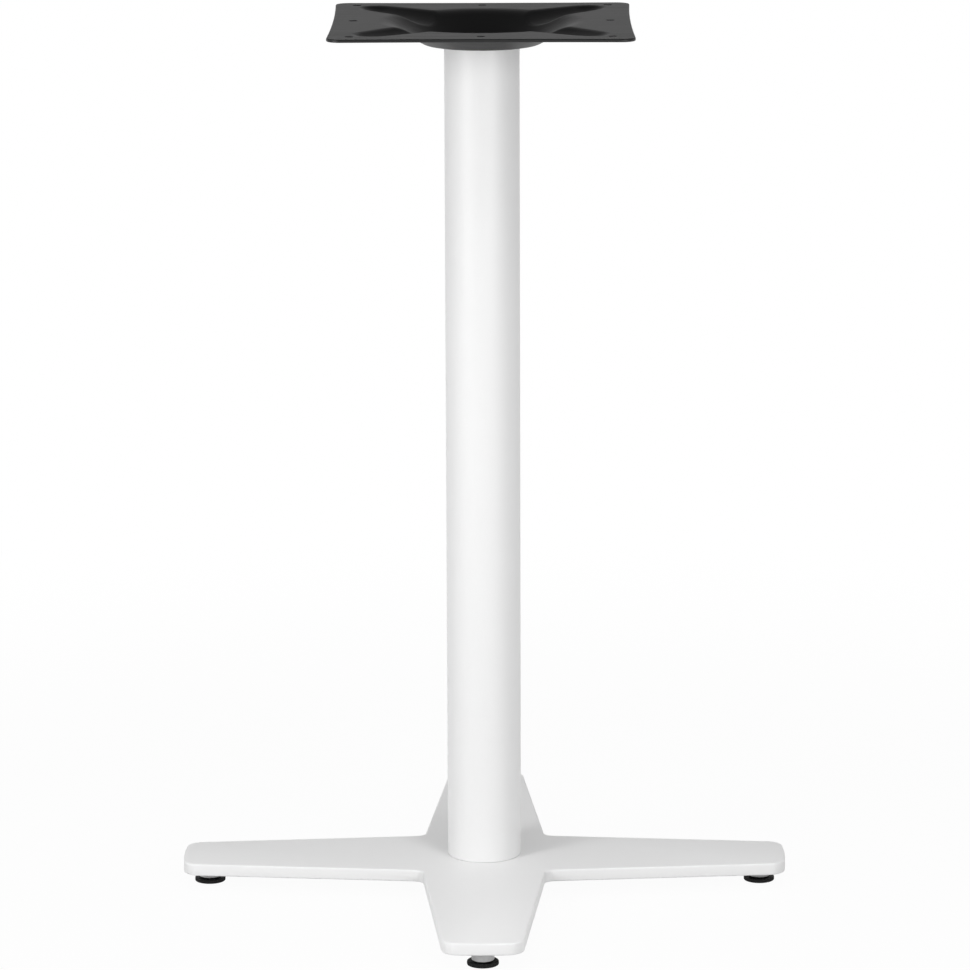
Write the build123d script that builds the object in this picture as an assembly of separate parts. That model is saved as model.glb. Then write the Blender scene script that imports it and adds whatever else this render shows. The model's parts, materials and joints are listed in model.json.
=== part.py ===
from build123d import *
import os
from math import cos, pi, radians, sin, sqrt, tan

# Pedestal base for a small dining table: a four-armed cross on levelling feet, a round
# column and a pressed square plate that the table top is screwed to. One long tie rod
# runs through the column and clamps plate, column and cross together.
# Millimetres, Z up. The origin is on the floor, on the column's axis. The arms lie
# along X and Y, and the plate's sides face X and Y.

# Overall
total_height = 710.0          # floor to the plate's top face
column_diameter = 60.0
column_wall = 2.0

# Cross
arm_reach = 247.0             # column axis to the middle of an arm's end
arm_end_width = 63.0          # across an arm where its end corners would meet
arm_end_bow = 2.0             # how far the end bulges past its corners
notch_offset = 50.0           # X and Y of the corner between two arms
notch_radius = 9.0
arm_corner_radius = 11.0
cross_thickness = 10.0
cross_top_radius = 2.5
cross_bottom_chamfer = 1.0

# Bosses under the arm ends, which the feet screw into
foot_inset = 21.0             # from an arm's end to its foot's axis
boss_diameter = 18.0
boss_height = 9.0
boss_fillet = 2.0
boss_end_chamfer = 0.6
boss_roof = 3.5               # metal left over the blind tapped hole

# Levelling feet
thread_diameter = 8.0
thread_chamfer = 0.8
thread_clearance = 0.05       # radial, between the stud and its tapped hole
stud_end_gap = 1.0            # from the stud's end to the hole's blind end
pad_diameter = 25.0
pad_rim_height = 3.0
pad_hub_diameter = 14.0
pad_hub_height = 1.0
pad_edge_chamfer = 0.6
knurl_count = 48
knurl_depth = 0.45
stud_head_diameter = 11.0
stud_head_height = 1.6
pad_floor = 1.2               # plastic under the stud's head
pad_seat_clearance = 0.05     # round the stud and its head in the pad

# Top plate
plate_side = 240.0
plate_side_bow = 2.0          # how far each side curves in at its middle
plate_corner_radius = 11.0
sheet = 2.5
sheet_edge_chamfer = 0.5
screw_hole_diameter = 7.0
screw_hole_pitch = 204.0

# Dish pressed into the plate, whose flat bottom rests on the column
dish_lip_radius = 82.5        # where the flat top starts to roll over
dish_depth = 16.0
dish_roll_radius = 30.0
dish_wall_angle = 28.0        # degrees from level
dish_corner_radius = 6.0

# Cup in the middle of the dish, which sinks the nut below the table top
cup_diameter = 36.0
cup_depth = 7.0
cup_corner_radius = 2.5
cup_bend_radius = 0.5         # on the underside, where the dish turns down into the cup

# Four stiffening channels that run from the dish to the plate's corners
channel_start_radius = 20.0   # column axis to the start of a channel's straight floor
channel_start_depth = 11.9
channel_slope = 4.4           # degrees, the floor rising outwards
channel_bend_radius = 116.0   # column axis to where the floor starts to curve up
channel_end_roll = 50.0       # radius of that curve
channel_end_turn = 50.0       # degrees, enough to take it past the top face
channel_section_radius = 28.0
channel_lip_radius = 9.0      # on the top face

# Tie rod and what it clamps
rod_diameter = 10.0
rod_chamfer = 1.0
rod_past_nut = 1.6
nut_across_flats = 16.0
nut_height = 8.0
nut_clearance = 0.05
washer_diameter = 30.0
washer_thickness = 2.0
washer_edge_chamfer = 0.3
rod_hole_clearance = 0.3

# Turned plugs that centre both ends of the column on the rod
plug_flange_height = 5.0
plug_skirt_height = 12.0
plug_skirt_wall = 3.0
plug_fit = 0.15               # radial, in the column
spigot_diameter = 20.0
spigot_height = 2.0
spigot_fit = 0.15             # radial, in the cross and in the cup

# Places that follow from the sizes above
foot_circle_radius = arm_reach - foot_inset
pad_height = pad_rim_height + pad_hub_height
cross_bottom_z = pad_height + boss_height
cross_top_z = cross_bottom_z + cross_thickness
dish_floor_z = total_height - dish_depth
column_top_z = dish_floor_z - sheet
cup_floor_z = dish_floor_z - cup_depth
locating_hole_radius = spigot_diameter / 2 + spigot_fit
rod_hole_radius = rod_diameter / 2 + rod_hole_clearance
lower_nut_z = cross_bottom_z - washer_thickness - nut_height
upper_nut_z = cup_floor_z + washer_thickness
foot_angles = {"right": 0, "rear": 90, "left": 180, "front": 270}


def foot_place(angle):
    """Place on the floor under one arm's boss."""
    return Rot(0, 0, angle) * Pos(foot_circle_radius, 0, 0)


def turned(points):
    """Solid of revolution about Z from an outline of (radius, height) points."""
    outline = make_face(Polyline(*points, close=True))
    return revolve(Plane.XZ * outline, Axis.Z)


def arm_outline(angle):
    """Plan of one arm, from the middle of the cross to its bulged end."""
    half = arm_end_width / 2
    corner_x = arm_reach - arm_end_bow
    edges = [
        Line((0, 0), (notch_offset, notch_offset)),
        Line((notch_offset, notch_offset), (corner_x, half)),
        ThreePointArc((corner_x, half), (arm_reach, 0), (corner_x, -half)),
        Line((corner_x, -half), (notch_offset, -notch_offset)),
        Line((notch_offset, -notch_offset), (0, 0)),
    ]
    return Rot(0, 0, angle) * make_face(edges)


def cross_outline():
    """Plan of the whole cross, with its notches and arm corners rounded."""
    outline = Sketch() + [arm_outline(angle) for angle in foot_angles.values()]
    notch_distance = notch_offset * sqrt(2)
    notches = [v for v in outline.vertices() if abs(Vector(v).length - notch_distance) < 1]
    outline = fillet(notches, notch_radius)
    corners = [v for v in outline.vertices() if Vector(v).length > arm_reach - arm_end_bow]
    return fillet(corners, arm_corner_radius)


def base_cross():
    """Cross with a boss under each arm, a blind tapped hole in each and a centre hole."""
    plate = Pos(0, 0, cross_bottom_z) * extrude(cross_outline(), cross_thickness)
    plate = fillet(plate.faces().sort_by(Axis.Z)[-1].edges(), cross_top_radius)
    plate = chamfer(plate.faces().sort_by(Axis.Z)[0].edges(), cross_bottom_chamfer)
    boss_radius = boss_diameter / 2
    boss = turned([
        (0, pad_height),
        (boss_radius - boss_end_chamfer, pad_height),
        (boss_radius, pad_height + boss_end_chamfer),
        (boss_radius, cross_bottom_z - boss_fillet),
        (boss_radius + boss_fillet, cross_bottom_z),
        (0, cross_bottom_z),
    ])
    hole_radius = thread_diameter / 2 + thread_clearance
    hole_depth = cross_top_z - boss_roof - pad_height
    tapped = Pos(0, 0, pad_height + hole_depth / 2) * Cylinder(hole_radius, hole_depth)
    places = [foot_place(angle) for angle in foot_angles.values()]
    centre_hole = Pos(0, 0, cross_bottom_z) * Cylinder(locating_hole_radius, 3 * cross_thickness)
    return plate + [place * boss for place in places] - [place * tapped for place in places] - centre_hole


def column():
    """Plain round tube, square at both ends."""
    length = column_top_z - cross_top_z
    radius = column_diameter / 2
    tube = Cylinder(radius, length) - Cylinder(radius - column_wall, length)
    return Pos(0, 0, (cross_top_z + column_top_z) / 2) * tube


def column_plug():
    """Cup-shaped plug, spigot down, with its flange's outer face at height zero."""
    outer = column_diameter / 2 - column_wall - plug_fit
    skirt_top = plug_flange_height + plug_skirt_height
    return turned([
        (rod_hole_radius, -spigot_height),
        (spigot_diameter / 2, -spigot_height),
        (spigot_diameter / 2, 0),
        (outer, 0),
        (outer, skirt_top),
        (outer - plug_skirt_wall, skirt_top),
        (outer - plug_skirt_wall, plug_flange_height),
        (rod_hole_radius, plug_flange_height),
    ])


def chamfered_rod(radius, bottom_z, top_z, chamfer_size):
    """Round rod on the Z axis, chamfered at both ends."""
    return turned([
        (0, bottom_z),
        (radius - chamfer_size, bottom_z),
        (radius, bottom_z + chamfer_size),
        (radius, top_z - chamfer_size),
        (radius - chamfer_size, top_z),
        (0, top_z),
    ])


def tie_rod():
    """Threaded rod, drawn at its crest diameter."""
    top_z = upper_nut_z + nut_height + rod_past_nut
    return chamfered_rod(rod_diameter / 2, lower_nut_z - rod_past_nut, top_z, rod_chamfer)


def washer(bottom_z):
    """Large flat washer."""
    ring = Cylinder(washer_diameter / 2, washer_thickness) - Cylinder(rod_hole_radius, washer_thickness)
    rim = ring.edges().filter_by(GeomType.CIRCLE).sort_by(SortBy.RADIUS)[-2:]
    ring = chamfer(rim, washer_edge_chamfer)
    return Pos(0, 0, bottom_z + washer_thickness / 2) * ring


def hexagon_nut(bottom_z):
    """Hexagon nut whose corners are turned off at both ends."""
    prism = extrude(RegularPolygon(nut_across_flats / 2, 6, major_radius=False), nut_height)
    corner_radius = nut_across_flats / sqrt(3)
    flat_radius = nut_across_flats / 2 * 0.95
    drop = (corner_radius - flat_radius) * 0.5
    envelope = turned([
        (0, 0),
        (flat_radius, 0),
        (corner_radius, drop),
        (corner_radius, nut_height - drop),
        (flat_radius, nut_height),
        (0, nut_height),
    ])
    bore = Pos(0, 0, nut_height / 2) * Cylinder(rod_diameter / 2 + nut_clearance, 2 * nut_height)
    return Pos(0, 0, bottom_z) * ((prism & envelope) - bore)


def plate_outline():
    """Square with sides that curve in a little and rounded corners."""
    half = plate_side / 2
    side = ThreePointArc((half, -half), (half - plate_side_bow, 0), (half, half))
    outline = make_face([Rot(0, 0, 90 * i) * side for i in range(4)])
    return fillet(outline.vertices(), plate_corner_radius)


def dish(grow, top_z):
    """The hollow of the dish and its cup, or the outside of their sheet at grow of one sheet."""
    floor = -dish_depth - grow
    cup_floor = floor - cup_depth
    cup_radius = cup_diameter / 2 + grow
    cup_corner = cup_corner_radius + grow
    cup_lip = cup_bend_radius + sheet - grow
    corner = dish_corner_radius + grow
    roll = dish_roll_radius - grow
    angle = radians(dish_wall_angle)
    roll_arc = CenterArc((dish_lip_radius, -grow - roll), roll, 90 + dish_wall_angle, -dish_wall_angle)
    wall_top = roll_arc @ 0
    wall_drop = wall_top.Y - floor - corner * (1 - cos(angle))
    floor_radius = wall_top.X - wall_drop / tan(angle) - corner * sin(angle)
    corner_arc = CenterArc((floor_radius, floor + corner), corner, -90, dish_wall_angle)
    cup_corner_arc = CenterArc((cup_radius - cup_corner, cup_floor + cup_corner), cup_corner, -90, 90)
    cup_lip_arc = CenterArc((cup_radius + cup_lip, floor - cup_lip), cup_lip, 180, -90)
    outline = make_face([
        Line((0, cup_floor), cup_corner_arc @ 0),
        cup_corner_arc,
        Line(cup_corner_arc @ 1, cup_lip_arc @ 0),
        cup_lip_arc,
        Line(cup_lip_arc @ 1, corner_arc @ 0),
        corner_arc,
        Line(corner_arc @ 1, wall_top),
        roll_arc,
        Line(roll_arc @ 1, (dish_lip_radius, top_z)),
        Line((dish_lip_radius, top_z), (0, top_z)),
        Line((0, top_z), (0, cup_floor)),
    ])
    return revolve(Plane.XZ * outline, Axis.Z)


def channels(grow, top_z):
    """Four troughs along the diagonals, or their outside at grow of one sheet."""
    slope = radians(channel_slope)
    rise = (channel_bend_radius - channel_start_radius) * tan(slope)
    start_z = channel_section_radius / cos(slope) - channel_start_depth
    start = Vector(channel_start_radius, 0, start_z)
    bend = Vector(channel_bend_radius, 0, start_z + rise)
    ring_radius = channel_end_roll - channel_section_radius
    ring_centre = bend + Vector(-sin(slope), 0, cos(slope)) * ring_radius
    ring_points = []
    for turn in (channel_end_turn / 2, channel_end_turn):
        angle = slope + radians(turn)
        ring_points.append(ring_centre + Vector(sin(angle), 0, -cos(angle)) * ring_radius)
    path = Wire([Line(start, bend), ThreePointArc(bend, *ring_points)])
    section_radius = channel_section_radius + grow
    section_height = channel_start_depth + 2 * sheet + grow
    lower_part = Pos(0, section_height / 2 - section_radius) * Rectangle(2 * section_radius, section_height)
    section_plane = Plane(origin=start, x_dir=(0, 1, 0), z_dir=(cos(slope), 0, sin(slope)))
    trough = sweep(section_plane * (Circle(section_radius) & lower_part), path)
    keep = Pos(plate_side / 2, 0, top_z - plate_side / 2) * Box(plate_side, plate_side, plate_side)
    return [Rot(0, 0, 45 + 90 * i) * (trough & keep) for i in range(4)]


def screw_holes():
    """Eight places: the corners and the middles of the sides of one square."""
    step = screw_hole_pitch / 2
    return [(x, y) for x in (-step, 0, step) for y in (-step, 0, step) if x or y]


def channel_lips(pressed, level):
    """Edges of the four channels on the side of the sheet whose flat is at this level."""
    walls = [
        face for face in pressed.faces()
        if face.geom_type in (GeomType.CYLINDER, GeomType.TORUS)
        and min(abs(face.center().X), abs(face.center().Y)) > channel_start_radius / 2
        and abs(face.bounding_box().max.Z - level) < sheet / 4
        and face.bounding_box().size.Z > sheet
    ]
    return ShapeList(edge for wall in walls for edge in wall.edges() if edge.geom_type != GeomType.CIRCLE)


def top_plate():
    """Pressed sheet plate: dish with its cup, four channels, eight screw holes and a centre hole."""
    blank = extrude(plate_outline(), -sheet)
    rim = blank.faces().sort_by(Axis.Z)[-1].edges() + blank.faces().sort_by(Axis.Z)[0].edges()
    blank = chamfer(rim, sheet_edge_chamfer)
    inside_sheet = -sheet / 3
    die = blank + dish(sheet, inside_sheet) + channels(sheet, inside_sheet)
    pressed = die - dish(0, sheet) - channels(0, sheet)
    for level, lip_radius in ((0, channel_lip_radius), (-sheet, channel_lip_radius - sheet)):
        pressed = fillet(channel_lips(pressed, level), lip_radius)
    screw_hole = Cylinder(screw_hole_diameter / 2, 3 * sheet)
    centre_hole = Pos(0, 0, -dish_depth - cup_depth) * Cylinder(locating_hole_radius, 3 * sheet)
    pressed = pressed - [Pos(x, y, 0) * screw_hole for x, y in screw_holes()] - centre_hole
    return Pos(0, 0, total_height) * pressed


def foot_stud():
    """Threaded stud with a round head, drawn at its crest diameter."""
    shank_radius = thread_diameter / 2
    head_top = pad_floor + stud_head_height
    stud_top = cross_top_z - boss_roof - stud_end_gap
    return turned([
        (0, pad_floor),
        (stud_head_diameter / 2, pad_floor),
        (stud_head_diameter / 2, head_top),
        (shank_radius, head_top),
        (shank_radius, stud_top - thread_chamfer),
        (shank_radius - thread_chamfer, stud_top),
        (0, stud_top),
    ])


def knurled_section(inset, z):
    """Star-shaped outline of the pad's rim at one height, drawn in by the inset."""
    crest = pad_diameter / 2 - inset
    step = 2 * pi / knurl_count
    outline = []
    for i in range(knurl_count):
        for radius, angle in ((crest, i * step), (crest - knurl_depth, (i + 0.5) * step)):
            outline.append((radius * cos(angle), radius * sin(angle), z))
    return make_face(Polyline(*outline, close=True))


def knurled_disc():
    """Disc with straight grooves all round its rim, bevelled along both edges."""
    bevel = pad_edge_chamfer
    levels = ((bevel, 0), (0, bevel), (0, pad_rim_height - bevel), (bevel, pad_rim_height))
    return loft([knurled_section(inset, z) for inset, z in levels], ruled=True)


def foot_pad():
    """Knurled plastic disc with a low hub, moulded round the stud's head."""
    hub = Pos(0, 0, pad_rim_height + pad_hub_height / 2) * Cylinder(pad_hub_diameter / 2, pad_hub_height)
    head_top = pad_floor + stud_head_height
    seat = turned([
        (0, pad_floor),
        (stud_head_diameter / 2 + pad_seat_clearance, pad_floor),
        (stud_head_diameter / 2 + pad_seat_clearance, head_top),
        (thread_diameter / 2 + pad_seat_clearance, head_top),
        (thread_diameter / 2 + pad_seat_clearance, 2 * pad_height),
        (0, 2 * pad_height),
    ])
    return knurled_disc() + hub - seat


def write(name, shape):
    """Save one node under its own name."""
    export_step(shape, f"parts/{name}.step")


os.makedirs("parts", exist_ok=True)
write("base_cross", base_cross())
write("column", column())
write("lower_plug", Pos(0, 0, cross_top_z) * column_plug())
write("upper_plug", Pos(0, 0, cup_floor_z - sheet) * Rot(180, 0, 0) * column_plug())
write("top_plate", top_plate())
write("tie_rod", tie_rod())
write("lower_washer", washer(cross_bottom_z - washer_thickness))
write("lower_nut", hexagon_nut(lower_nut_z))
write("upper_washer", washer(cup_floor_z))
write("upper_nut", hexagon_nut(upper_nut_z))
for side, angle in foot_angles.items():
    write(f"{side}_foot_stud", foot_place(angle) * foot_stud())
    write(f"{side}_foot_pad", foot_place(angle) * foot_pad())
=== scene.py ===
import json
import math
import bpy
from mathutils import Matrix, Vector


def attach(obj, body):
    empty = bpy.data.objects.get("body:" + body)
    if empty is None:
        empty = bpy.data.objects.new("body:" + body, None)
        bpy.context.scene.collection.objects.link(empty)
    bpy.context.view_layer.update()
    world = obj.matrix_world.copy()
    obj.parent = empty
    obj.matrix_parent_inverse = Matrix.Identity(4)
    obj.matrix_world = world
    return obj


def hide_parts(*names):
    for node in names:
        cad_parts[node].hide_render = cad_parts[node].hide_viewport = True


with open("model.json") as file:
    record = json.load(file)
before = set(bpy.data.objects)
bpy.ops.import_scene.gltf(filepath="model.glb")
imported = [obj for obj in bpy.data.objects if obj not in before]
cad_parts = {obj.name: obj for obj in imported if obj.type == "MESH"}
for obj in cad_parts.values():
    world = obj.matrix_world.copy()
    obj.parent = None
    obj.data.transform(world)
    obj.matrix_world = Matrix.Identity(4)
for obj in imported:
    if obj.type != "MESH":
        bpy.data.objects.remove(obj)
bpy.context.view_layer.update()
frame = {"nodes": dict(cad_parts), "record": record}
print("frame loaded:", len(frame["nodes"]), "nodes")


class Maths:
    # one socket of a shader tree, so that shader maths reads as a formula
    def __init__(self, tree, socket):
        self.tree = tree
        self.socket = socket

    def node(self, kind, settings, values, output=0):
        # any node: its settings go first, then a value or a link for each socket
        made = self.tree.nodes.new(kind)
        for name, value in settings.items():
            if name == "stops":
                setStops(made.color_ramp, value)
            else:
                setattr(made, name, value)
        for name, value in values.items():
            plug(self.tree, made.inputs[name], value)
        return Maths(self.tree, made.outputs[output])

    def math(self, operation, *values):
        return self.node("ShaderNodeMath", {"operation": operation}, dict(enumerate(values)))

    def __add__(self, other):
        return self.math("ADD", self, other)

    def __radd__(self, other):
        return self.math("ADD", other, self)

    def __sub__(self, other):
        return self.math("SUBTRACT", self, other)

    def __rsub__(self, other):
        return self.math("SUBTRACT", other, self)

    def __mul__(self, other):
        return self.math("MULTIPLY", self, other)

    def __rmul__(self, other):
        return self.math("MULTIPLY", other, self)

    def __pow__(self, other):
        return self.math("POWER", self, other)

    def __abs__(self):
        return self.math("ABSOLUTE", self)

    def least(self, other):
        return self.math("MINIMUM", self, other)

    def most(self, other):
        return self.math("MAXIMUM", self, other)

    def along(self, axis):
        # one part of a vector: 0 is X, 1 is Y and 2 is Z
        return self.node("ShaderNodeSeparateXYZ", {}, {"Vector": self}, axis)

    def ease(self, low, high, start=0.0, end=1.0):
        # goes smoothly from start to end while this goes from low to high
        values = {"Value": self, "From Min": low, "From Max": high, "To Min": start, "To Max": end}
        return self.node("ShaderNodeMapRange", {"interpolation_type": "SMOOTHSTEP"}, values)


def plug(tree, socket, value):
    if isinstance(value, Maths):
        tree.links.new(value.socket, socket)
    else:
        socket.default_value = value


def setStops(ramp, stops):
    while len(ramp.elements) < len(stops):
        ramp.elements.new(0.5)    # moved to its own place below
    for element, (place, grey) in zip(ramp.elements, stops):
        element.position = place
        element.color = (grey, grey, grey, 1)


def newMaterial(name):
    # a material with one Principled shader, its tree, and Object coordinates to start formulas from
    material = bpy.data.materials.new(name)
    material.use_nodes = True
    tree = material.node_tree
    tree.nodes.clear()
    shader = tree.nodes.new("ShaderNodeBsdfPrincipled")
    output = tree.nodes.new("ShaderNodeOutputMaterial")
    tree.links.new(shader.outputs["BSDF"], output.inputs["Surface"])
    coordinates = Maths(tree, tree.nodes.new("ShaderNodeTexCoord").outputs["Object"])
    return material, shader, coordinates


def noise(coordinates, scale, detail=2.0, stretch=(1, 1, 1)):
    placed = coordinates.node("ShaderNodeMapping", {}, {"Vector": coordinates, "Scale": stretch})
    values = {"Vector": placed, "Scale": scale, "Detail": detail}
    return coordinates.node("ShaderNodeTexNoise", {}, values)


def mixColour(factor, low, high):
    # low and high are colours, or sockets that carry one
    low, high = (colour if isinstance(colour, Maths) else (*colour, 1) for colour in (low, high))
    return factor.node("ShaderNodeMix", {"data_type": "RGBA"}, {0: factor, 6: low, 7: high}, 2)


def dress(shader, s, colour, rough, relief):
    # what every finish varies over its surface; relief is in metres
    tree = colour.tree
    bump = relief.node("ShaderNodeBump", {}, {"Height": relief, "Distance": 1.0, "Strength": 1.0})
    plug(tree, shader.inputs["Base Color"], colour)
    plug(tree, shader.inputs["Roughness"], s["roughness"] + (rough - 0.5) * s["roughnessSwing"])
    plug(tree, shader.inputs["Normal"], bump)


# finishes

whiteCoat = {
    "colour": (0.86, 0.86, 0.86),
    "shade": (0.84, 0.84, 0.84),
    "roughness": 0.42,
    "roughnessSwing": 0.08,
    "peelScale": 700,             # bumps of the powder coat, about 1.4 mm apart
    "peelDepth": 0.00007,
    "grainScale": 4200,
    "grainDepth": 0.000004,
    "patchScale": 9,              # slow drift of the shade
    "paintedShade": (0.66, 0.66, 0.66),   # painted shade: the bosses' colour, darkened where the arms overhang them
    "paintedShadeBelow": (0.0118, 0.0129),    # heights: all painted shade under the first, none over the second
}


def makeWhiteCoat(s):
    material, shader, place = newMaterial("whitePowderCoat")
    peel = noise(place, s["peelScale"])
    grain = noise(place, s["grainScale"])
    even = mixColour(noise(place, s["patchScale"]), s["shade"], s["colour"])
    # painted shade: what stands lower than the bosses' top is darkened, as the arms' shade falls there
    outsidePaintedLight = place.along(2).ease(*s["paintedShadeBelow"])
    relief = peel * s["peelDepth"] + grain * s["grainDepth"]
    dress(shader, s, mixColour(outsidePaintedLight, s["paintedShade"], even), peel, relief)
    return material


blackCoat = {
    "colour": (0.0040, 0.0040, 0.0042),
    "shade": (0.0025, 0.0025, 0.0026),
    "roughness": 0.44,
    "roughnessSwing": 0.12,
    "gloss": 0.36,
    "peelScale": 900,
    "peelDepth": 0.00008,
    "streakScale": 300,           # faint rolling lines of the sheet, drawn out along X
    "streakStretch": (0.04, 1, 1),
    "streakDepth": 0.000006,
    "holePitch": 0.102,           # column axis to the rows of screw holes
    "holeRim": (0.0035, 0.0044),  # a lighter ring round each screw hole between these radii: painted highlight, with a bump that rounds the hole's edge
    "rimDepth": 0.00016,
    # painted highlight: the colour of the ring round each screw hole
    "rim": (0.012, 0.012, 0.0125),
}


def makeBlackCoat(s):
    material, shader, place = newMaterial("blackPowderCoat")
    peel = noise(place, s["peelScale"])
    streak = noise(place, s["streakScale"], stretch=s["streakStretch"])
    x, y = abs(place.along(0)), abs(place.along(1))      # one quarter stands for all four
    offX, offY = abs(x - s["holePitch"]), abs(y - s["holePitch"])
    toRow = (x.least(offX) ** 2.0 + offY ** 2.0) ** 0.5
    toColumn = (offX ** 2.0 + y.least(offY) ** 2.0) ** 0.5
    # painted highlight: lighter near each screw hole, where the bump also dips
    outsidePaintedLight = toRow.least(toColumn).ease(*s["holeRim"])
    even = mixColour(peel, s["shade"], s["colour"])
    relief = peel * s["peelDepth"] + streak * s["streakDepth"] + outsidePaintedLight * s["rimDepth"]
    dress(shader, s, mixColour(outsidePaintedLight, s["rim"], even), streak, relief)
    shader.inputs["Specular IOR Level"].default_value = s["gloss"]
    return material


zincPlate = {
    "colour": (0.66, 0.68, 0.70),
    "shade": (0.55, 0.56, 0.57),
    "roughness": 0.38,
    "roughnessSwing": 0.2,
    "metallic": 0.8,
    "cloudScale": 160,
    "cloudDetail": 4.0,
    "fineScale": 2500,
    "fineDepth": 0.000006,
}


def makeZincPlate(s):
    material, shader, place = newMaterial("zincPlate")
    cloud = noise(place, s["cloudScale"], s["cloudDetail"])
    fine = noise(place, s["fineScale"])
    dress(shader, s, mixColour(cloud, s["shade"], s["colour"]), cloud, fine * s["fineDepth"])
    shader.inputs["Metallic"].default_value = s["metallic"]
    return material


turnedSteel = {
    "colour": (0.5, 0.5, 0.49),
    "shade": (0.42, 0.42, 0.41),
    "roughness": 0.34,
    "roughnessSwing": 0.1,
    "metallic": 1.0,
    "cloudScale": 120,
    "feed": 0.00035,              # pitch of the tool marks
    "ringStep": 0.32,             # pitch of the wave texture's rings at a scale of 1
    "ringWobble": 0.4,
    "markDepth": 0.000008,
}


def makeTurnedSteel(s):
    material, shader, place = newMaterial("turnedSteel")
    cloud = noise(place, s["cloudScale"])
    values = {"Vector": place, "Scale": s["ringStep"] / s["feed"], "Distortion": s["ringWobble"]}
    rings = place.node("ShaderNodeTexWave", {"wave_type": "RINGS", "rings_direction": "Z"}, values)
    dress(shader, s, mixColour(cloud, s["shade"], s["colour"]), rings, rings * s["markDepth"])
    shader.inputs["Metallic"].default_value = s["metallic"]
    return material


blackNylon = {
    "colour": (0.0045, 0.0045, 0.005),
    "shade": (0.0025, 0.0025, 0.0027),
    "roughness": 0.5,
    "roughnessSwing": 0.1,
    "gloss": 0.22,
    "grainScale": 3500,
    "grainDepth": 0.00001,
}


def makeBlackNylon(s):
    material, shader, place = newMaterial("blackNylon")
    grain = noise(place, s["grainScale"])
    dress(shader, s, mixColour(grain, s["shade"], s["colour"]), grain, grain * s["grainDepth"])
    shader.inputs["Specular IOR Level"].default_value = s["gloss"]
    return material


finishes = {
    "white_coat": makeWhiteCoat(whiteCoat),
    "black_coat": makeBlackCoat(blackCoat),
    "zinc_plate": makeZincPlate(zincPlate),
    "turned_steel": makeTurnedSteel(turnedSteel),
    "black_nylon": makeBlackNylon(blackNylon),
}
for row in frame["record"]["subparts"]:
    for materialSlot in frame["nodes"][row["node"]].material_slots:
        materialSlot.material = finishes[row["material_slot"]]
print("finishes made:", len(finishes))


# modelling helpers

tolerance = 1e-6                  # metres: points nearer than this are one


def takeOnly(piece):
    # an operator acts on all that is selected, so everything else is let go first
    if bpy.context.mode != "OBJECT":
        bpy.ops.object.mode_set(mode="OBJECT")
    bpy.ops.object.select_all(action="DESELECT")
    piece.select_set(True)
    bpy.context.view_layer.objects.active = piece


def pickFaces(piece, test):
    # leaves the piece in edit mode with the faces picked whose centre and normal pass the test
    takeOnly(piece)
    bpy.ops.object.mode_set(mode="EDIT")
    bpy.ops.mesh.select_mode(type="FACE")
    bpy.ops.mesh.select_all(action="DESELECT")
    bpy.ops.object.mode_set(mode="OBJECT")
    for face in piece.data.polygons:
        face.select = test(face.center, face.normal)
    bpy.ops.object.mode_set(mode="EDIT")


def pickEdges(piece, test):
    # the same for edges, by their two ends
    takeOnly(piece)
    bpy.ops.object.mode_set(mode="EDIT")
    bpy.ops.mesh.select_mode(type="EDGE")
    bpy.ops.mesh.select_all(action="DESELECT")
    bpy.ops.object.mode_set(mode="OBJECT")
    points = piece.data.vertices
    for edge in piece.data.edges:
        edge.select = test(*(points[i].co for i in edge.vertices))
    bpy.ops.object.mode_set(mode="EDIT")


def pickAll():
    bpy.ops.mesh.select_all(action="SELECT")


def leaveEditing():
    pickAll()
    bpy.ops.mesh.remove_doubles(threshold=tolerance)
    bpy.ops.mesh.normals_make_consistent(inside=False)
    bpy.ops.object.mode_set(mode="OBJECT")


def stretchRing(outline):
    # draws the picked ring on through an outline of (radius, height) points
    for (before, level), (radius, height) in zip(outline, outline[1:]):
        bpy.ops.mesh.extrude_edges_move(TRANSFORM_OT_translate={"value": (0, 0, height - level)})
        share = radius / before
        bpy.ops.transform.resize(value=(share, share, 1), center_override=(0, 0, height))


def turnPiece(name, outline, sides, hollow=False):
    # a turned piece on the Z axis; a hollow outline comes back to its first point
    bpy.ops.object.select_all(action="DESELECT")
    radius, height = outline[0]
    bpy.ops.mesh.primitive_circle_add(vertices=sides, radius=radius, fill_type="NOTHING",
                                      location=(0, 0, height))
    piece = bpy.context.object
    piece.name = name
    bpy.ops.object.transform_apply(location=True, rotation=True, scale=True)
    bpy.ops.object.mode_set(mode="EDIT")
    pickAll()
    stretchRing(outline + outline[:1] if hollow else outline)
    if not hollow:
        pickAll()
        bpy.ops.mesh.fill_holes(sides=0)
    leaveEditing()
    return piece


def useModifier(piece, kind, settings):
    takeOnly(piece)
    made = piece.modifiers.new(kind.lower(), kind)
    for name, value in settings.items():
        setattr(made, name, value)
    bpy.ops.object.modifier_apply(modifier=made.name)


def joinOrCut(piece, tool, operation):
    # a boolean with a tool piece, which is used up
    useModifier(piece, "BOOLEAN", {"operation": operation, "solver": "EXACT", "object": tool})
    bpy.data.objects.remove(tool, do_unlink=True)


def reshapeRadius(piece, rule):
    # rule gives each vertex its radius from its radius, height and turn about the Z axis
    for vertex in piece.data.vertices:
        radius = math.hypot(vertex.co.x, vertex.co.y)
        share = rule(radius, vertex.co.z, math.atan2(vertex.co.y, vertex.co.x)) / radius
        vertex.co.x *= share
        vertex.co.y *= share


def copyPiece(piece, name):
    made = piece.copy()
    made.data = piece.data.copy()
    made.name = made.data.name = name
    bpy.context.scene.collection.objects.link(made)
    return made


feet = {
    "circle": 0.226,              # column axis to a foot's axis
    "angles": {"right": 0, "rear": 90, "left": 180, "front": 270},
}


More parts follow.
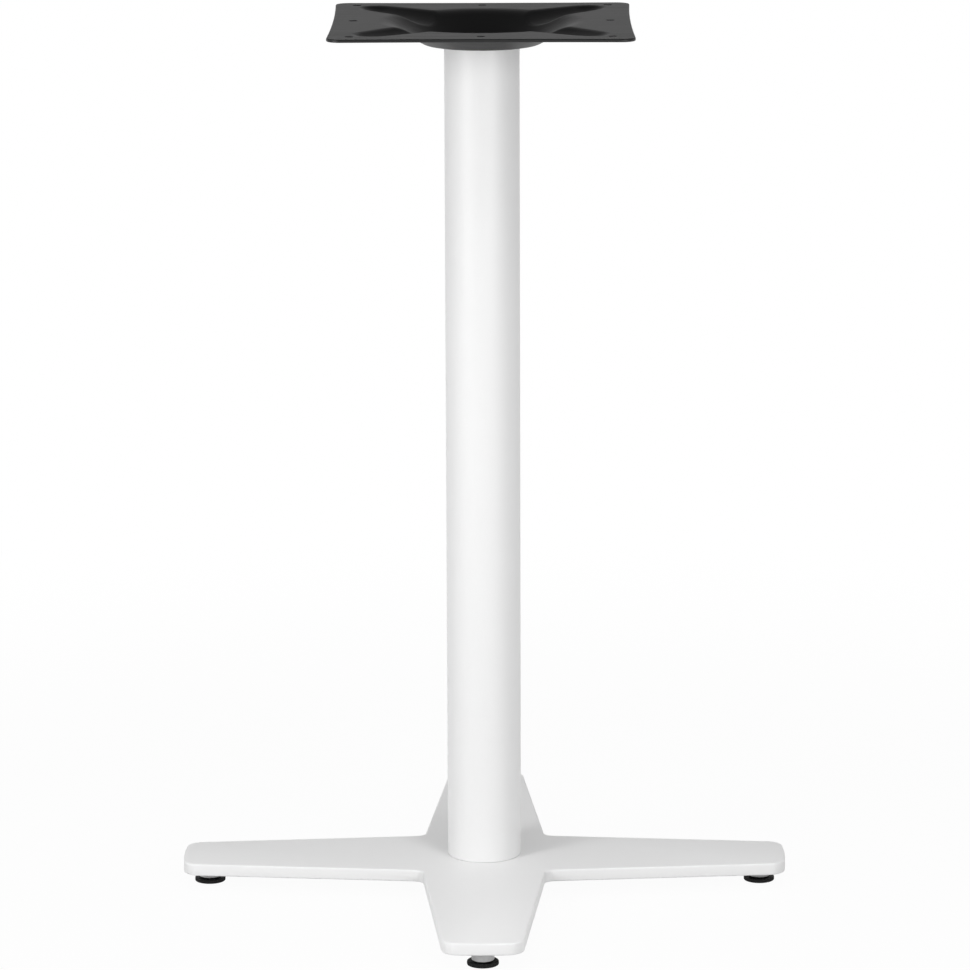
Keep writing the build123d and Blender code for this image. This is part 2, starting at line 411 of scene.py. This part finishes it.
def placeAtFoot(piece, side):
    takeOnly(piece)
    turn = math.radians(feet["angles"][side])
    piece.location = (feet["circle"] * math.cos(turn), feet["circle"] * math.sin(turn), 0)
    piece.rotation_euler = (0, 0, turn)
    bpy.ops.object.transform_apply(location=True, rotation=True, scale=True)


smoothBelow = 32                  # degrees: sharper edges stay sharp


def finishPiece(piece, name, node, body, finish):
    piece.name = piece.data.name = name
    takeOnly(piece)
    bpy.ops.object.shade_smooth_by_angle(angle=math.radians(smoothBelow))
    piece.data.materials.clear()
    piece.data.materials.append(finishes[finish])
    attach(piece, body)
    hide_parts(node)


# the cross

crossCasting = {
    "core": 0.1,                  # the square that the arms grow from
    "reach": 0.245,               # to an arm's end corners, the bow goes past them
    "endWidth": 0.063,
    "bow": 0.002,
    "bowFrom": 0.225,             # what lies further out than this follows the bow
    "bowCuts": 11,
    "bottom": 0.013,
    "top": 0.023,
    "notch": {"between": (0.05, 0.1), "bevel": 0.00744},    # radii that its upright edges lie between
    "corner": {"between": (0.2, 0.3), "bevel": 0.0106},
    "cornerSteps": 10,
    "endEdge": 0.03,              # an arm's end is a level edge longer than this
    "rimBevel": 0.0015,
    "rimSteps": 4,
    "rimAngle": 40,               # degrees: sharper edges than this are rounded
    "centreHole": 0.01015,
    "roundSides": 72,             # of a boss and of the centre hole
    "holeSides": 48,              # of a tapped hole
    "pastFace": 0.005,            # how far the centre hole's cutter stands out of both faces
    "boss": [(0.0084, 0.004), (0.00885, 0.00418), (0.009, 0.0046), (0.009, 0.011), (0.00915, 0.01177),
             (0.00959, 0.01241), (0.01023, 0.01285), (0.0111, 0.01302), (0.0111, 0.016)],
    "tappedHole": [(0.0052, 0.003), (0.0047, 0.004), (0.00405, 0.00465), (0.00405, 0.0188), (0.001, 0.0195)],
}


def makeCross(s):
    bpy.ops.object.select_all(action="DESELECT")
    middle = (s["top"] + s["bottom"]) / 2
    bpy.ops.mesh.primitive_cube_add(size=1, location=(0, 0, middle))
    cross = bpy.context.object
    cross.scale = (s["core"], s["core"], s["top"] - s["bottom"])
    bpy.ops.object.transform_apply(location=True, rotation=True, scale=True)
    share = s["endWidth"] / s["core"]
    for outward in (Vector((1, 0, 0)), Vector((0, 1, 0)), Vector((-1, 0, 0)), Vector((0, -1, 0))):
        pickFaces(cross, lambda centre, normal: (normal - outward).length < tolerance)
        length = s["reach"] - s["core"] / 2
        bpy.ops.mesh.extrude_region_move(TRANSFORM_OT_translate={"value": outward * length})
        narrow = (share if outward.y else 1, share if outward.x else 1, 1)
        bpy.ops.transform.resize(value=narrow, center_override=outward * s["reach"] + Vector((0, 0, middle)))
    for upright in (s["notch"], s["corner"]):
        low, high = upright["between"]
        pickEdges(cross, lambda a, b: (a.xy - b.xy).length < tolerance and low < a.xy.length < high)
        bpy.ops.mesh.bevel(offset_type="OFFSET", offset=upright["bevel"], segments=s["cornerSteps"],
                           profile=0.5, affect="EDGES")
    outFrom = s["corner"]["between"][0]
    pickEdges(cross, lambda a, b: abs(a.z - b.z) < tolerance and min(a.xy.length, b.xy.length) > outFrom
              and (a.xy - b.xy).length > s["endEdge"])
    bpy.ops.mesh.subdivide(number_cuts=s["bowCuts"])
    bpy.ops.object.mode_set(mode="OBJECT")
    for vertex in cross.data.vertices:
        along = 0 if abs(vertex.co.x) > abs(vertex.co.y) else 1
        if abs(vertex.co[along]) > s["bowFrom"]:
            across = vertex.co[1 - along] / (s["endWidth"] / 2)
            vertex.co[along] += math.copysign(s["bow"] * (1 - across ** 2), vertex.co[along])
    useModifier(cross, "BEVEL", {"width": s["rimBevel"], "segments": s["rimSteps"],
                                 "limit_method": "ANGLE", "angle_limit": math.radians(s["rimAngle"])})
    for side in feet["angles"]:
        boss = turnPiece("boss", s["boss"], s["roundSides"])
        placeAtFoot(boss, side)
        joinOrCut(cross, boss, "UNION")
        hole = turnPiece("hole", s["tappedHole"], s["holeSides"])
        placeAtFoot(hole, side)
        joinOrCut(cross, hole, "DIFFERENCE")
    ends = s["bottom"] - s["pastFace"], s["top"] + s["pastFace"]
    hole = turnPiece("hole", [(s["centreHole"], height) for height in ends], s["roundSides"])
    joinOrCut(cross, hole, "DIFFERENCE")
    finishPiece(cross, "crossCasting", "base_cross", "stand", "white_coat")


makeCross(crossCasting)
print("cross made")


# the column

columnTube = {
    "radius": 0.030,
    "bore": 0.028,
    "bottom": 0.023,
    "top": 0.6915,
    "deburr": 0.0008,             # the broken edge at each cut end
    "sides": 160,
}


def makeColumn(s):
    bottom, top, outer = s["bottom"], s["top"], s["radius"]
    broken = outer - s["deburr"]
    outline = [(s["bore"], bottom), (broken, bottom), (outer, bottom + s["deburr"]),
               (outer, top - s["deburr"]), (broken, top), (s["bore"], top)]
    tube = turnPiece("tube", outline, s["sides"], hollow=True)
    finishPiece(tube, "columnTube", "column", "stand", "white_coat")


makeColumn(columnTube)
print("column made")


# threads: one pitch of the outline, wound up by the Screw modifier

metricThread = {                  # lengths are in pitches
    "depth": 0.6134,
    "rootEnds": 0.25,
    "crest": (0.5625, 0.6875),
    "before": 2,                  # wound below the bottom, and cut off later
    "after": 1,                   # the same past the top
    "steps": 36,                  # round one turn
}


def windThread(name, s, bottom, top):
    pitch = s["pitch"]
    crest = s["radius"]
    root = crest - metricThread["depth"] * pitch
    low, high = metricThread["crest"]
    outline = [(root, 0), (root, metricThread["rootEnds"]), (crest, low), (crest, high), (root, 1)]
    turns = math.ceil((top - bottom) / pitch) + metricThread["before"] + metricThread["after"]
    start = bottom - metricThread["before"] * pitch
    bpy.ops.object.select_all(action="DESELECT")
    bpy.ops.mesh.primitive_plane_add(size=0.001, location=(root, 0, start))   # merged to a point below
    thread = bpy.context.object
    thread.name = name
    bpy.ops.object.transform_apply(location=True, rotation=True, scale=True)
    bpy.ops.object.mode_set(mode="EDIT")
    bpy.ops.mesh.select_mode(type="VERT")
    pickAll()
    bpy.ops.mesh.merge(type="CENTER")
    for (before, level), (radius, height) in zip(outline, outline[1:]):
        step = (radius - before, 0, (height - level) * pitch)
        bpy.ops.mesh.extrude_vertices_move(TRANSFORM_OT_translate={"value": step})
    bpy.ops.object.mode_set(mode="OBJECT")
    steps = metricThread["steps"]
    useModifier(thread, "SCREW", {"axis": "Z", "steps": steps, "render_steps": steps, "iterations": turns,
                                  "screw_offset": pitch, "use_merge_vertices": False})
    bpy.ops.object.mode_set(mode="EDIT")
    leaveEditing()
    return thread


def cutThread(thread, height, keepAbove, capped):
    # the fine threshold matters: the usual one is a tenth of a millimetre
    takeOnly(thread)
    bpy.ops.object.mode_set(mode="EDIT")
    pickAll()
    bpy.ops.mesh.bisect(plane_co=(0, 0, height), plane_no=(0, 0, 1), use_fill=capped,
                        clear_inner=keepAbove, clear_outer=not keepAbove, threshold=1e-7)
    bpy.ops.object.mode_set(mode="OBJECT")


def atLevel(level):
    return lambda a, b: abs(a.z - level) < tolerance and abs(b.z - level) < tolerance


# the feet

footStud = {
    "radius": 0.004,
    "pitch": 0.00125,
    "top": 0.0185,
    "point": 0.0008,              # the chamfer at the end
    "tip": 0.001,                 # least radius of the outline
    "runOut": (0.0040, 0.0052),   # the thread fades out between these heights
    "plainFrom": 0.0036,
    "head": [(0.004, 0.0036), (0.004, 0.0028), (0.0054, 0.0028), (0.0055, 0.0027), (0.0055, 0.0012)],
}

footPad = {
    "radius": 0.0125,
    "knurls": 48,
    "knurlDepth": 0.0005,
    "knurlPower": 0.7,            # under 1 the grooves are broad and the crests narrow
    "samples": 6,                 # points round each knurl
    "outline": [(0.00555, 0.0012), (0.00555, 0.00285), (0.00405, 0.00285), (0.00405, 0.00385),
                (0.0042, 0.0040), (0.0067, 0.0040), (0.00691, 0.00391), (0.0070, 0.0037),
                (0.0070, 0.0033), (0.00709, 0.00309), (0.0073, 0.0030), (0.0103, 0.0030),
                (0.0105, 0.00285), (0.0108, 0.00285), (0.0110, 0.0030), (0.0119, 0.0030),
                (0.0122, 0.00292), (0.01242, 0.0027), (0.0125, 0.0024), (0.0125, 0.0006),
                (0.01242, 0.0003), (0.0122, 0.00008), (0.0119, 0.0), (0.0100, 0.0), (0.0096, 0.0004)],
}


def makeStud(s):
    stud = windThread("stud", s, s["plainFrom"], s["top"])
    low, high = s["runOut"]

    def rule(radius, height, turn):
        fade = min(max((high - height) / (high - low), 0), 1)
        radius += (s["radius"] - radius) * fade
        return min(radius, max(s["radius"] - s["point"] + s["top"] - height, s["tip"]))

    reshapeRadius(stud, rule)
    cutThread(stud, s["plainFrom"], True, False)
    cutThread(stud, s["top"], False, True)
    pickEdges(stud, atLevel(s["plainFrom"]))
    stretchRing(s["head"])
    pickAll()
    bpy.ops.mesh.fill_holes(sides=0)
    leaveEditing()
    return stud


def makePad(s):
    pad = turnPiece("pad", s["outline"], s["knurls"] * s["samples"])

    def rule(radius, height, turn):
        groove = 0.5 - 0.5 * math.cos(turn * s["knurls"])
        return min(radius, s["radius"] - s["knurlDepth"] * groove ** s["knurlPower"])

    reshapeRadius(pad, rule)
    return pad


stud = makeStud(footStud)
pad = makePad(footPad)
for side in feet["angles"]:
    for model, kind, finish in ((stud, "Stud", "zinc_plate"), (pad, "Pad", "black_nylon")):
        made = copyPiece(model, side + kind)
        placeAtFoot(made, side)
        node = side + "_foot_" + kind.lower()
        body = side + "_" + kind.lower()
        finishPiece(made, side + kind, node, body, finish)
for model in (stud, pad):
    bpy.data.objects.remove(model, do_unlink=True)
print("feet made:", len(feet["angles"]))


# the tie rod, threaded at both ends

tieRod = {
    "radius": 0.005,
    "pitch": 0.0015,
    "bottom": 0.0014,
    "top": 0.6986,
    "point": 0.001,               # the chamfer at each end
    "tip": 0.001,                 # least radius of the outline
    "threaded": 0.036,            # length of thread at each end
    "runOut": 0.003,
    "plain": 0.0005,              # kept of the plain part at each end, before the two are bridged
}


def makeTieRod(s):
    end = s["bottom"] + s["threaded"]
    rod = windThread("rod", s, s["bottom"], end)

    def rule(radius, height, turn):
        fade = min(max((height - end + s["runOut"]) / s["runOut"], 0), 1) ** 0.5      # quick at first
        radius += (s["radius"] - radius) * fade
        return min(radius, max(s["radius"] - s["point"] + height - s["bottom"], s["tip"]))

    reshapeRadius(rod, rule)
    cutThread(rod, s["bottom"], True, True)
    cutThread(rod, end + s["plain"], False, False)
    upper = copyPiece(rod, "upper")
    takeOnly(upper)
    upper.rotation_euler = (math.pi, 0, 0)
    upper.location = (0, 0, s["top"] + s["bottom"])
    bpy.ops.object.transform_apply(location=True, rotation=True, scale=True)
    rod.select_set(True)
    bpy.context.view_layer.objects.active = rod
    bpy.ops.object.join()
    ends = (end + s["plain"], s["top"] + s["bottom"] - end - s["plain"])
    pickEdges(rod, lambda a, b: any(atLevel(level)(a, b) for level in ends))
    bpy.ops.mesh.bridge_edge_loops()
    leaveEditing()
    finishPiece(rod, "tieRod", "tie_rod", "stand", "zinc_plate")


makeTieRod(tieRod)
print("tie rod made")


# camera, floor and light

camera = {
    "lens": 183.778,              # millimetres, for a sensor 36 mm wide
    "sensor": 36.0,
    "place": (0.02555, -3.91700, 1.19022),
    "tilt": 0.215526,             # radians below level
    "roll": -0.00325,
    "turn": 0.006162,             # radians to the left
}


def makeCamera(s):
    data = bpy.data.cameras.new("camera")
    data.lens = s["lens"]
    data.sensor_width = s["sensor"]
    data.sensor_height = s["sensor"]
    made = bpy.data.objects.new("camera", data)
    bpy.context.scene.collection.objects.link(made)
    turn = Matrix.Rotation(s["turn"], 4, "Z")
    tilt = Matrix.Rotation(math.pi / 2 - s["tilt"], 4, "X")
    roll = Matrix.Rotation(s["roll"], 4, "Z")
    made.matrix_world = Matrix.Translation(s["place"]) @ turn @ tilt @ roll
    bpy.context.scene.camera = made


makeCamera(camera)

studio = {
    "floorSize": 60.0,
    "floorColour": (0.65, 0.65, 0.65),
    "seenShare": 0.96,            # how much of the floor's look is plain white, near the object
    "clearRadius": (0.45, 1.3),   # from the first to the second of these it becomes all of it
    "fill": 0.32,                 # the room's light on the object
    "room": [(0.0, 1.0), (0.1, 0.85), (0.3, 0.5), (0.6, 0.08)],   # what gloss sees, from the horizon up
}


def seenDirectly(maths):
    # 1 for what the camera sees, also in gloss and through glass, and then 1 for the camera alone
    path = maths.tree.nodes.new("ShaderNodeLightPath")
    names = ("Is Camera Ray", "Is Glossy Ray", "Is Transmission Ray")
    byCamera, inGloss, throughGlass = (Maths(maths.tree, path.outputs[name]) for name in names)
    return byCamera.most(inGloss.most(throughGlass)), byCamera


def makeFloor(s):
    bpy.ops.object.select_all(action="DESELECT")
    bpy.ops.mesh.primitive_plane_add(size=s["floorSize"], location=(0, 0, 0))
    floor = bpy.context.object
    floor.name = "floor"
    material = bpy.data.materials.new("paleFloor")
    material.use_nodes = True
    tree = material.node_tree
    tree.nodes.clear()
    output = tree.nodes.new("ShaderNodeOutputMaterial")
    maths = Maths(tree, None)
    seen, _ = seenDirectly(maths)
    matt = maths.node("ShaderNodeBsdfDiffuse", {}, {"Color": (*s["floorColour"], 1)})
    glow = maths.node("ShaderNodeEmission", {}, {"Color": (1, 1, 1, 1), "Strength": 1.0})
    place = maths.node("ShaderNodeTexCoord", {}, {}, "Object")
    radius = maths.node("ShaderNodeVectorMath", {"operation": "LENGTH"}, {0: place}, "Value")
    share = radius.ease(*s["clearRadius"], s["seenShare"], 1.0)
    mixed = maths.node("ShaderNodeMixShader", {}, {0: seen * share, 1: matt, 2: glow})
    below = maths.node("ShaderNodeNewGeometry", {}, {}, "Backfacing")
    nothing = maths.node("ShaderNodeBsdfTransparent", {}, {})
    oneSided = maths.node("ShaderNodeMixShader", {}, {0: below, 1: mixed, 2: nothing})    # unseen from below
    tree.links.new(oneSided.socket, output.inputs["Surface"])
    floor.data.materials.append(material)


makeFloor(studio)


def makeWorld(s):
    world = bpy.data.worlds.new("studio")
    bpy.context.scene.world = world
    world.use_nodes = True
    tree = world.node_tree
    tree.nodes.clear()
    output = tree.nodes.new("ShaderNodeOutputWorld")
    maths = Maths(tree, None)
    seen, byCamera = seenDirectly(maths)
    direction = maths.node("ShaderNodeTexCoord", {}, {}, "Generated")
    room = maths.node("ShaderNodeValToRGB", {"stops": s["room"]}, {"Fac": direction.along(2)})
    roomLevel = byCamera + (1 - byCamera) * room
    level = seen * roomLevel + (1 - seen) * s["fill"]
    back = maths.node("ShaderNodeBackground", {}, {"Color": (1, 1, 1, 1), "Strength": level})
    tree.links.new(back.socket, output.inputs["Surface"])


makeWorld(studio)

lamps = [                         # turn is in degrees from the front, to the left
    {"name": "keyLamp", "turn": 46.5, "reach": 1.65, "height": 0.80, "aim": 0.27, "size": (0.54, 0.8),
     "power": 12.5, "shine": True},
    {"name": "sideLamp", "turn": -29.5, "reach": 1.65, "height": 0.80, "aim": 0.27, "size": (0.60, 0.8),
     "power": 10.1, "shine": True},
    {"name": "topLamp", "turn": 0, "reach": 0.3, "height": 2.8, "aim": 0.2, "size": (2.4, 2.4),
     "power": 30, "shine": False},
]


def makeLamp(s):
    data = bpy.data.lights.new(s["name"], "AREA")
    data.shape = "RECTANGLE"
    data.size, data.size_y = s["size"]
    data.energy = s["power"]
    made = bpy.data.objects.new(s["name"], data)
    bpy.context.scene.collection.objects.link(made)
    turn = math.radians(s["turn"])
    place = Vector((-s["reach"] * math.sin(turn), -s["reach"] * math.cos(turn), s["height"]))
    made.location = place
    made.rotation_euler = (Vector((0, 0, s["aim"])) - place).to_track_quat("-Z", "Y").to_euler()
    made.visible_camera = False
    made.visible_glossy = s["shine"]


for lamp in lamps:
    makeLamp(lamp)
bpy.context.scene.view_settings.view_transform = "Standard"
print("studio made")
